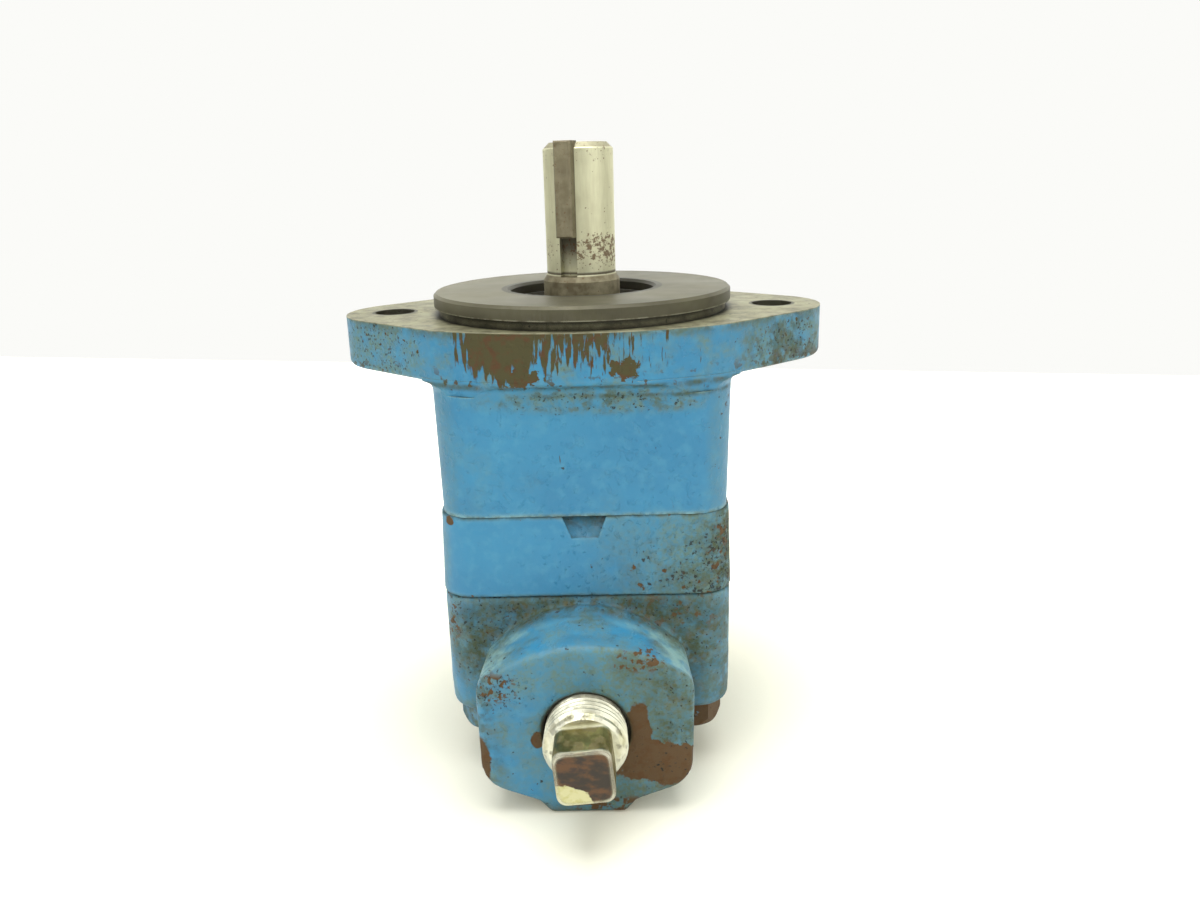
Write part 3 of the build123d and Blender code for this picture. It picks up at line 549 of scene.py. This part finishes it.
def zinc_plate(finish):
    """Yellow-passivated zinc on a forged plug. The eye gets straw and olive tints, pale corners that are worn
    plating and a painted highlight, and a square end that is rusted through and holds a scrap of cream paint."""
    material, tree, shader, place = start_material("yellow_zinc_plate")
    tint = ramp(tree, cloud(tree, place, 5, 60.0), 0.35, 0.65)
    on_head = level(tree, place, Y, -66.2, -66.8)
    thread_colour = coat(tree, "eae8d0", "c4c09a", tint)
    head_colour = coat(tree, "9e955c", "716638", tint)
    colour = coat(tree, thread_colour, head_colour, on_head)
    dirt = islands(tree, place, 2.2, 0.55, 0.08, 61.0, detail=RAGGED)
    colour = coat(tree, colour, "5f5734", both(tree, dirt, 0.8))
    # Pale edges: worn plating, and a painted highlight on the rounded corners.
    bright = edge_rub(tree, 1.8, 0.16, 0.38)
    colour = coat(tree, colour, "e4e3cc", both(tree, bright, 0.9))
    end = both(tree, level(tree, place, Y, -76.55, -76.8), inverse(tree, bright))
    flow = (1, 1, 1.8)
    redder = islands(tree, place, 4.0, 0.52, 0.10, 62.0, stretch=flow, detail=RAGGED)
    rust = coat(tree, "31281a", "5e3e1d", redder)
    darker = islands(tree, place, 3.0, 0.60, 0.06, 63.0, stretch=flow)
    rust = coat(tree, rust, "2f241d", both(tree, darker, 0.8))
    colour = coat(tree, colour, rust, end)
    scrap = both(tree, zone(tree, place, (-6.5, -77, -108.6), (9.5, 6, 6.2), 0.03, 0.45, 64.0), end)
    paint = coat(tree, rgba(finish.cream), "c2bd7e", islands(tree, place, 1.6, 0.56, 0.08, 65.0))
    colour = coat(tree, colour, paint, scrap)
    clean = inverse(tree, either(tree, end, both(tree, dirt, 0.8)))
    roughness = blend_value(tree, 0.32, 0.58, either(tree, end, dirt))
    height = math_of(tree, "MULTIPLY_ADD", scrap, 0.5, both(tree, cloud(tree, place, 2.0, 66.0), 0.6))
    bump = add_node(tree, "Bump", {"Height": height, "Strength": 0.4, "Distance": 0.35 * MM})
    connect(tree, shader, Base_Color=colour, Roughness=roughness, Metallic=both(tree, clean, 0.85),
            Normal=bump.outputs[0])
    return material


def plain_finish(name, first, second, size_mm, metallic, rough):
    """Even finish in two close tints, for a piece that is hardly seen."""
    material, tree, shader, place = start_material(name)
    tint = ramp(tree, cloud(tree, place, size_mm, 70.0), 0.3, 0.7)
    roughness = math_of(tree, "MULTIPLY_ADD", tint, 0.12, rough - 0.06)
    connect(tree, shader, Base_Color=coat(tree, first, second, tint), Roughness=roughness,
            Metallic=metallic)
    return material


# ---- mesh tools ----

def finish_piece(name, built, material, body, stands_for=(), smooth=True):
    """Object from a bmesh or mesh, with its finish and the body that carries it."""
    mesh = built
    if isinstance(built, bmesh.types.BMesh):
        mesh = bpy.data.meshes.new(name)
        built.to_mesh(mesh)
        built.free()
    piece = bpy.data.objects.new(name, mesh)
    bpy.context.scene.collection.objects.link(piece)
    mesh.materials.clear()
    mesh.materials.append(material)
    for polygon in mesh.polygons:
        polygon.use_smooth = smooth
    if stands_for:
        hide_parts(*stands_for)
    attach(piece, body)
    return piece


def dress(node, material):
    """Gives a carried-over CAD node its finish."""
    mesh = frame["nodes"][node].data
    mesh.materials.clear()
    mesh.materials.append(material)


def block(built, low, high, narrow=1.0):
    """Box between two corners in mm, with its lower end as narrow as asked along X."""
    low, high = Vector(low) * MM, Vector(high) * MM
    place = Matrix.Translation((low + high) / 2) @ Matrix.Diagonal((*(high - low), 1))
    verts = bmesh.ops.create_cube(built, size=1.0, matrix=place)["verts"]
    for vert in verts:
        if vert.co.z < (low.z + high.z) / 2:
            vert.co.x *= narrow


def soft_casting(node, voxel_mm, passes, grain_mm, fill=None, cut=None):
    """Copy of a casting with the small rounds and slight unevenness that a sand mould leaves on every edge.
    fill is a box that is solid in it, and cut is a notch in its outside."""
    source = frame["nodes"][node].data
    merged = bmesh.new()
    merged.from_mesh(source)
    bmesh.ops.remove_doubles(merged, verts=merged.verts, dist=WELD / 2)
    if fill:
        block(merged, *fill)
    mesh = bpy.data.meshes.new(node + "_blank")
    merged.to_mesh(mesh)
    merged.free()
    blank = bpy.data.objects.new(node + "_blank", mesh)
    bpy.context.scene.collection.objects.link(blank)
    remesh = blank.modifiers.new("Remesh", "REMESH")
    remesh.mode = "VOXEL"
    remesh.voxel_size = voxel_mm * MM
    ease = blank.modifiers.new("Smooth", "SMOOTH")
    ease.factor = 0.5
    ease.iterations = passes
    sand = bpy.data.textures.new(node + "_sand", "CLOUDS")
    sand.noise_scale = 3.5 * MM
    sand.noise_depth = 3
    grain = blank.modifiers.new("Grain", "DISPLACE")
    grain.texture = sand
    grain.texture_coords = "LOCAL"
    grain.strength = grain_mm * MM
    grain.mid_level = 1.0
    cutter = None
    if cut:
        built = bmesh.new()
        block(built, *cut)
        tool = bpy.data.meshes.new(node + "_cut")
        built.to_mesh(tool)
        built.free()
        cutter = bpy.data.objects.new(node + "_cut", tool)
        bpy.context.scene.collection.objects.link(cutter)
        notch = blank.modifiers.new("Notch", "BOOLEAN")
        notch.operation, notch.solver, notch.object = "DIFFERENCE", "EXACT", cutter
    shaped = bpy.data.meshes.new_from_object(blank.evaluated_get(bpy.context.evaluated_depsgraph_get()))
    for used in (blank, cutter):
        if used:
            bpy.data.objects.remove(used)
    return shaped


def screw_thread(radius_mm, depth_mm, pitch_mm, length_mm, steps=48):
    """Helical thread along Z from 0 to length, with flat crests and open ends."""
    turns = math.ceil(length_mm / pitch_mm) + 2
    thread = bmesh.new()
    profile = ((-depth_mm, 0.0), (0.0, 0.40), (0.0, 0.55), (-depth_mm, 0.95), (-depth_mm, 1.0))
    chain = [thread.verts.new(((radius_mm + rise) * MM, 0, (along - 1) * pitch_mm * MM))
             for rise, along in profile]
    edges = [thread.edges.new(pair) for pair in zip(chain, chain[1:])]
    bmesh.ops.spin(thread, geom=chain + edges, axis=(0, 0, 1), cent=(0, 0, 0), angle=2 * math.pi * turns,
                   steps=steps * turns, dvec=(0, 0, pitch_mm * MM / steps))
    bmesh.ops.remove_doubles(thread, verts=thread.verts, dist=WELD)
    for height, side in ((0, -1), (length_mm, 1)):
        geometry = thread.verts[:] + thread.edges[:] + thread.faces[:]
        bmesh.ops.bisect_plane(thread, geom=geometry, plane_co=(0, 0, height * MM), plane_no=(0, 0, side),
                               clear_outer=True)
    return thread


# ---- settings ----

def colour_setting(name, description, hex_colour):
    """Colour property that starts from an sRGB hex value."""
    return bpy.props.FloatVectorProperty(name=name, description=description, subtype="COLOR", min=0, max=1,
                                         default=linear(hex_colour))


def size_setting(name, description, start, low, high):
    """Length property in mm."""
    return bpy.props.FloatProperty(name=name, description=description + ", in mm", default=start, min=low,
                                   max=high)


def turn_setting(name, description, start):
    """Angle property in radians."""
    return bpy.props.FloatProperty(name=name, description=description, unit="ROTATION", default=start)


class FinishSettings(bpy.types.PropertyGroup):
    """Colours of the pump's finishes."""
    enamel: colour_setting("Enamel", "Light blue enamel", "3385ab")
    enamel_deep: colour_setting("Deep enamel", "Enamel where it lies thick", "2d7ca3")
    enamel_pale: colour_setting("Pale enamel", "Enamel where it has gone chalky", "4d97b2")
    # Also the colour of the painted highlight on edges.
    enamel_rubbed: colour_setting("Rubbed enamel", "Enamel worn thin on an edge", "88ada8")
    film: colour_setting("Film", "Olive film of old oil and dust", "6a806c")
    grime: colour_setting("Grime", "Oily dirt in the corners", "454c30")
    bare_iron: colour_setting("Bare iron", "Brown iron where the paint is gone", "5c4830")
    rust: colour_setting("Rust", "Redder rust on bare iron", "5a4126")
    iron_dark: colour_setting("Dark iron", "Machined iron under oil", "4a4738")
    iron_pale: colour_setting("Pale iron", "Machined iron, cleaner", "605d49")
    iron_dusty: colour_setting("Dusty iron", "Dust and dried oil on the flange", "9a9878")
    cream: colour_setting("Cream paint", "Scrap of paint on the plug", "cfcb97")


class ShapeSettings(bpy.types.PropertyGroup):
    """Sizes of the details that are added to the frame's parts."""
    voxel: size_setting("Casting detail", "Grid that the castings are softened on", 0.75, 0.4, 2)
    grain: size_setting("Sand grain", "Depth of the sand-cast unevenness", 0.16, 0, 1)
    pipe_pitch: size_setting("Plug thread pitch", "Pitch of the plug's thread", 1.814, 0.5, 4)
    pipe_depth: size_setting("Plug thread depth", "Depth of the plug's thread", 0.85, 0.1, 2)
    inlet_pitch: size_setting("Inlet thread pitch", "Pitch of the inlet's thread", 2.209, 0.5, 4)


class StageSettings(bpy.types.PropertyGroup):
    """Camera and floor."""
    eye: bpy.props.FloatVectorProperty(name="Camera place", description="Where the camera stands",
                                       unit="LENGTH", subtype="TRANSLATION",
                                       default=(0.00929, -0.2731, 0.03822))
    pan: turn_setting("Pan", "Turn of the camera about the vertical", 0.020)
    tilt: turn_setting("Tilt", "How far the camera looks down", 0.286)
    roll: turn_setting("Roll", "Lean of the camera", -0.027)
    lens: size_setting("Lens", "Focal length", 28.98, 10, 200)
    wall_distance: bpy.props.FloatProperty(name="Backdrop distance", unit="LENGTH", default=0.527,
                                           description="From the shaft to the backdrop")
    wall_angle: turn_setting("Backdrop angle", "Turn of the backdrop about the vertical", -0.192)


# ---- castings ----

class PUMP_OT_body(bpy.types.Operator):
    """Painted body with its machined flange face, pilot and bore"""
    bl_idname = "pump.body"
    bl_label = "Body"

    def execute(self, context):
        finish = context.scene.pump_finish
        dress("body", worn_enamel("body_enamel_on_cast_iron", finish, body_wear, 0.0))
        return {"FINISHED"}


class PUMP_OT_cam_ring(bpy.types.Operator):
    """Painted outside of the cam ring, with soft cast edges"""
    bl_idname = "pump.cam_ring"
    bl_label = "Cam ring"

    def execute(self, context):
        finish, shape = context.scene.pump_finish, context.scene.pump_shape
        material = worn_enamel("ring_enamel_on_cast_iron", finish, ring_wear, 100.0)
        behind_notch = (-5.3, -38.0, -52.7), (5.3, -34.8, -48.5)
        notch = (-6.3, -41.0, -54.6), (6.3, -37.4, -47.5), 0.55
        mesh = soft_casting("cam_ring", shape.voxel * 0.72, 3, shape.grain, fill=behind_notch, cut=notch)
        finish_piece("cam_ring_casting", mesh, material, "housing", ["cam_ring"])
        return {"FINISHED"}


class PUMP_OT_cover(bpy.types.Operator):
    """Painted cover and outlet boss, with soft cast edges and the most dirt"""
    bl_idname = "pump.cover"
    bl_label = "Cover"

    def execute(self, context):
        finish, shape = context.scene.pump_finish, context.scene.pump_shape
        material = worn_enamel("cover_enamel_on_cast_iron", finish, cover_wear, 200.0)
        mesh = soft_casting("cover", shape.voxel, 4, shape.grain)
        finish_piece("cover_casting", mesh, material, "housing", ["cover"])
        return {"FINISHED"}


class PUMP_OT_screws(bpy.types.Operator):
    """Painted-over heads of the cover screws"""
    bl_idname = "pump.screws"
    bl_label = "Cover screws"

    def execute(self, context):
        finish = context.scene.pump_finish
        dress("cover_bolts", worn_enamel("enamel_on_screw_heads", finish, head_wear, 300.0))
        return {"FINISHED"}


# ---- drive ----

class PUMP_OT_shaft(bpy.types.Operator):
    """Ground drive shaft with rust low down, and its drawn key"""
    bl_idname = "pump.shaft"
    bl_label = "Shaft and key"

    def execute(self, context):
        # A film of dry oil makes the shaft a pale straw colour, and only half a mirror.
        dress("shaft", ground_steel("ground_shaft_steel", "d6d5b3", "cbc8a6", 0.44, metal=0.6, stain=0.15,
                                    wear=shaft_wear))
        # The key was never ground: it is darker, browner and duller than the shaft.
        dress("shaft_key", ground_steel("drawn_key_steel", "7d745c", "675f4a", 0.52, metal=0.5, stain=0.4,
                                        wear=key_wear))
        return {"FINISHED"}


class PUMP_OT_bearing(bpy.types.Operator):
    """Ball bearing, retaining rings, seal and bush"""
    bl_idname = "pump.bearing"
    bl_label = "Bearing and seal"

    def execute(self, context):
        # Lapped races and balls: a bright mirror, with faint lines that run round the shaft.
        race = ground_steel("bearing_steel", "c9c9c6", "a4a4a0", 0.2, (0.2, 0.2, 1))
        for node in ("bearing_outer_ring", "bearing_inner_ring", "bearing_balls", "locating_pins"):
            dress(node, race)
        # Sheet as it comes from the press: grey and satin.
        pressed = plain_finish("pressed_sheet_steel", "a7a7a2", "8b8b86", 4, 1.0, 0.4)
        for node in ("bearing_cage", "seal_case"):
            dress(node, pressed)
        # Phosphate makes the springs and rings a dark, soft grey.
        spring = plain_finish("phosphated_spring_steel", "77756c", "58574f", 3, 0.8, 0.42)
        for node in ("bearing_snap_ring", "shaft_snap_ring", "seal_garter_spring"):
            dress(node, spring)
        self.add_plate_spring(spring)
        # Rubber from a plain mould: near black and dull.
        rubber = plain_finish("moulded_nitrile", "141414", "2a2a28", 4, 0.0, 0.62)
        for node in ("seal_lip", "body_o_ring", "plate_o_ring", "cover_o_ring"):
            dress(node, rubber)
        # A bored bush keeps a clean yellow-brown metal.
        dress("shaft_bush", plain_finish("bored_bronze", "a27a45", "c49a5e", 2, 1.0, 0.35))
        return {"FINISHED"}

    def add_plate_spring(self, material):
        """Copy of the pressure spring, with its own mesh, carried by the housing."""
        mesh = frame["nodes"]["pressure_spring"].data.copy()
        coil = finish_piece("plate_spring", mesh, material, "housing", ["pressure_spring"])
        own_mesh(coil)


class PUMP_OT_cartridge(bpy.types.Operator):
    """Rotor, vanes and pressure plate"""
    bl_idname = "pump.cartridge"
    bl_label = "Pumping cartridge"

    def execute(self, context):
        # Hardened, then ground: grey, with a soft shine.
        dress("rotor", ground_steel("hardened_rotor_steel", "b9b8b2", "94938d", 0.3))
        # The vanes rub on the ring all the time, and are the brightest steel.
        blade = ground_steel("ground_vane_steel", "cfcfca", "a9a9a5", 0.22)
        for node in frame["nodes"]:
            if node.startswith("vane_"):
                dress(node, blade)
        # Lapping leaves cast iron dark grey and satin, without lines.
        dress("pressure_plate", plain_finish("lapped_iron", "5f5f5c", "7d7d79", 5, 1.0, 0.4))
        return {"FINISHED"}


# ---- ports ----

class PUMP_OT_plug(bpy.types.Operator):
    """Square-head taper plug with its thread cut in the mesh"""
    bl_idname = "pump.plug"
    bl_label = "Outlet plug"

    def execute(self, context):
        shape = context.scene.pump_shape
        low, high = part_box("port_plug")
        centre_x, centre_z = (low.x + high.x) / 2, (low.z + high.z) / 2
        outer_r = (high.x - low.x) / 2 / MM
        thread_mm, head_mm, taper = 20.0, 11.0, 1 / 32
        lead_mm, lead_slope = 2.0, 0.9
        plug = screw_thread(outer_r, shape.pipe_depth, shape.pipe_pitch, thread_mm)
        for vert in plug.verts:
            shrink = 1 - taper * (thread_mm * MM - vert.co.z) / (outer_r * MM)
            reach = math.hypot(vert.co.x, vert.co.y) / MM
            limit = outer_r - max(0, vert.co.z / MM - (thread_mm - lead_mm)) * lead_slope
            shrink *= min(1, limit / reach)
            vert.co.x *= shrink
            vert.co.y *= shrink
        self.close_ends(plug, thread_mm, outer_r - shape.pipe_depth)
        self.add_square(plug, thread_mm, head_mm)
        face_y = low.y + (thread_mm + head_mm) * MM
        turn = Matrix.Rotation(math.radians(90), 4, "X")
        place = Matrix.Translation((centre_x, face_y, centre_z)) @ turn
        bmesh.ops.transform(plug, matrix=place, verts=plug.verts)
        bmesh.ops.recalc_face_normals(plug, faces=plug.faces)
        finish_piece("outlet_plug", plug, zinc_plate(context.scene.pump_finish), "housing",
                     ["port_plug"], smooth=False)
        return {"FINISHED"}

    def close_ends(self, plug, thread_mm, root_r):
        """Flat caps on both ends of the thread."""
        cap_r = (root_r - 1.6) * MM
        for height in (0.0, thread_mm * MM):
            rim = self.open_edges(plug, height)
            grown = bmesh.ops.extrude_edge_only(plug, edges=rim)["geom"]
            ring = [v for v in grown if isinstance(v, bmesh.types.BMVert)]
            for vert in ring:
                flat = Vector((vert.co.x, vert.co.y, 0))
                flat.normalize()
                vert.co.x, vert.co.y = flat.x * cap_r, flat.y * cap_r
            bmesh.ops.remove_doubles(plug, verts=ring, dist=TOUCH)
            bmesh.ops.contextual_create(plug, geom=self.open_edges(plug, height))

    def open_edges(self, plug, height):
        """Edges of a hole in the mesh that lie at one height."""
        return [e for e in plug.edges if e.is_boundary and all(abs(v.co.z - height) < TOUCH for v in e.verts)]

    def add_square(self, plug, base_mm, head_mm):
        """Square head with rounded corners and a broken front edge."""
        flats, round_mm, broken_mm, turn = 14.3, 2.6, 0.55, math.radians(5)
        made = bmesh.ops.create_cube(plug, size=1.0)
        verts = made["verts"]
        scale = Matrix.Diagonal((flats * MM, flats * MM, (head_mm + 1) * MM, 1))
        shift = Matrix.Translation((0, 0, (base_mm + (head_mm - 1) / 2) * MM))
        bmesh.ops.transform(plug, matrix=shift @ Matrix.Rotation(turn, 4, "Z") @ scale, verts=verts)
        upright = [e for e in {e for v in verts for e in v.link_edges}
                   if abs(e.verts[0].co.z - e.verts[1].co.z) > 1 * MM]
        rounded = dict(affect="EDGES", profile=0.5, material=-1)
        bmesh.ops.bevel(plug, geom=upright, offset=round_mm * MM, segments=6, **rounded)
        top = (base_mm + head_mm) * MM
        front = [e for e in plug.edges if all(abs(v.co.z - top) < TOUCH for v in e.verts)]
        bmesh.ops.bevel(plug, geom=front, offset=broken_mm * MM, segments=3, **rounded)


class PUMP_OT_inlet_thread(bpy.types.Operator):
    """Thread inside the inlet port at the back"""
    bl_idname = "pump.inlet_thread"
    bl_label = "Inlet thread"

    def execute(self, context):
        shape = context.scene.pump_shape
        port = [m for m in frame["record"]["mounts"] if m["name"] == "inlet_port"][0]
        rise_mm, sunk_mm, plain_mm, start_mm, skin_mm = 0.85, 0.1, 4, 1.5, 0.05
        bore_r, length = port["dims"]["r_mm"], port["dims"]["length_mm"] - plain_mm
        thread = screw_thread(bore_r - rise_mm, -(rise_mm + sunk_mm), shape.inlet_pitch, length)
        inner_end = Vector(port["pos_m"]) - Vector((0, (length / 2 - start_mm) * MM, 0))
        place = Matrix.Translation(inner_end) @ Matrix.Rotation(-math.pi / 2, 4, "X")
        bmesh.ops.transform(thread, matrix=place, verts=thread.verts)
        bmesh.ops.solidify(thread, geom=thread.faces[:], thickness=skin_mm * MM)
        bmesh.ops.recalc_face_normals(thread, faces=thread.faces)
        # A tap leaves cleaner iron than the bore: a little paler, and satin.
        iron = plain_finish("cut_iron_thread", "5b574a", "77725f", 3, 0.6, 0.5)
        finish_piece("inlet_port_thread", thread, iron, "housing")
        return {"FINISHED"}


# ---- stage ----

class PUMP_OT_stage(bpy.types.Operator):
    """Pale floor and backdrop, soft light and the camera"""
    bl_idname = "pump.stage"
    bl_label = "Stage"

    def execute(self, context):
        stage = context.scene.pump_stage
        self.make_camera(stage)
        self.make_floor(stage)
        self.make_lights(context.scene)
        context.scene.view_settings.view_transform = "Standard"
        return {"FINISHED"}

    def make_camera(self, stage):
        data = bpy.data.cameras.new("Camera")
        data.lens, data.sensor_width = stage.lens, 36
        data.clip_start = 0.01
        camera = bpy.data.objects.new("Camera", data)
        turn = Matrix.Rotation(stage.pan, 4, "Z") @ Matrix.Rotation(math.pi / 2 - stage.tilt, 4, "X")
        camera.matrix_world = Matrix.Translation(stage.eye) @ turn @ Matrix.Rotation(stage.roll, 4, "Z")
        bpy.context.scene.collection.objects.link(camera)
        bpy.context.scene.camera = camera

    def make_floor(self, stage):
        """Floor, and a backdrop that stands on it at a slight angle."""
        half_width = 4.0
        upright = Matrix.Rotation(stage.wall_angle, 4, "Z") @ Matrix.Rotation(math.pi / 2, 4, "X")
        sheets = (("floor", Matrix.Translation((0, 0, FLOOR_Z)), "ffffff"),
                  ("backdrop", Matrix.Translation((0, stage.wall_distance, 0)) @ upright, "fbfbf8"))
        for name, place, colour in sheets:
            sheet = bmesh.new()
            bmesh.ops.create_grid(sheet, x_segments=1, y_segments=1, size=half_width, matrix=place)
            mesh = bpy.data.meshes.new(name)
            sheet.to_mesh(mesh)
            sheet.free()
            plane = bpy.data.objects.new(name, mesh)
            mesh.materials.append(self.board(name, colour))
            bpy.context.scene.collection.objects.link(plane)

    def board(self, name, colour):
        """Matt white card. The eye gets even white; on the floor a zone round the pump glows less and warmer,
        a painted soft warm shadow on top of the real one.
        """
        material, tree, shader, place = start_material(name + "_board")
        seen = add_node(tree, "LightPath").outputs["Is Camera Ray"]
        glow, warm = 1.0, rgba(colour)
        if name == "floor":
            # Painted shadow: the floor glows less, and warmer, in a zone round the pump.
            near = zone(tree, place, (-8, -40, FLOOR_Z / MM), (170, 150, 100), 0.6)
            glow = math_of(tree, "MULTIPLY_ADD", near, -0.60, 0.70)
            warm = coat(tree, warm, "fff0c8", near)
        own = coat(tree, "f4f4ee", "f0f0e2" if name == "floor" else "000000", seen)
        connect(tree, shader, Base_Color=own, Roughness=0.9, Specular_IOR_Level=0.0, Emission_Color=warm,
                Emission_Strength=both(tree, seen, glow))
        return material

    def make_lights(self, scene):
        world = bpy.data.worlds.new("World")
        world.use_nodes = True
        background = world.node_tree.nodes["Background"]
        background.inputs["Color"].default_value = (1, 1, 1, 1)
        background.inputs["Strength"].default_value = 0.33
        scene.world = world
        middle = Vector((0, 0, -0.04))
        for name, place, size, power in LAMPS:
            data = bpy.data.lights.new(name, "AREA")
            data.shape, data.size, data.energy = "SQUARE", size, power
            lamp = bpy.data.objects.new(name, data)
            lamp.location = place
            lamp.rotation_euler = (middle - Vector(place)).to_track_quat("-Z", "Y").to_euler()
            scene.collection.objects.link(lamp)


class PUMP_PT_parts(bpy.types.Panel):
    """Buttons for every piece of the pump"""
    bl_label = "Vane pump"
    bl_idname = "PUMP_PT_parts"
    bl_space_type = "VIEW_3D"
    bl_region_type = "UI"
    bl_category = "Vane pump"

    def draw(self, context):
        for operator in OPERATORS:
            self.layout.operator(operator.bl_idname)


SETTINGS = {"pump_finish": FinishSettings, "pump_shape": ShapeSettings, "pump_stage": StageSettings}
OPERATORS = (PUMP_OT_stage, PUMP_OT_body, PUMP_OT_cam_ring, PUMP_OT_cover, PUMP_OT_screws, PUMP_OT_shaft,
             PUMP_OT_bearing, PUMP_OT_cartridge, PUMP_OT_plug, PUMP_OT_inlet_thread)


def register():
    for part in (*SETTINGS.values(), *OPERATORS, PUMP_PT_parts):
        bpy.utils.register_class(part)
    for name, group in SETTINGS.items():
        setattr(bpy.types.Scene, name, bpy.props.PointerProperty(type=group))


def unregister():
    for name in SETTINGS:
        delattr(bpy.types.Scene, name)
    for part in (PUMP_PT_parts, *reversed(OPERATORS), *SETTINGS.values()):
        bpy.utils.unregister_class(part)


def main():
    register()
    for operator in OPERATORS:
        group, name = operator.bl_idname.split(".")
        getattr(getattr(bpy.ops, group), name)()


if __name__ == "__main__":
    main()
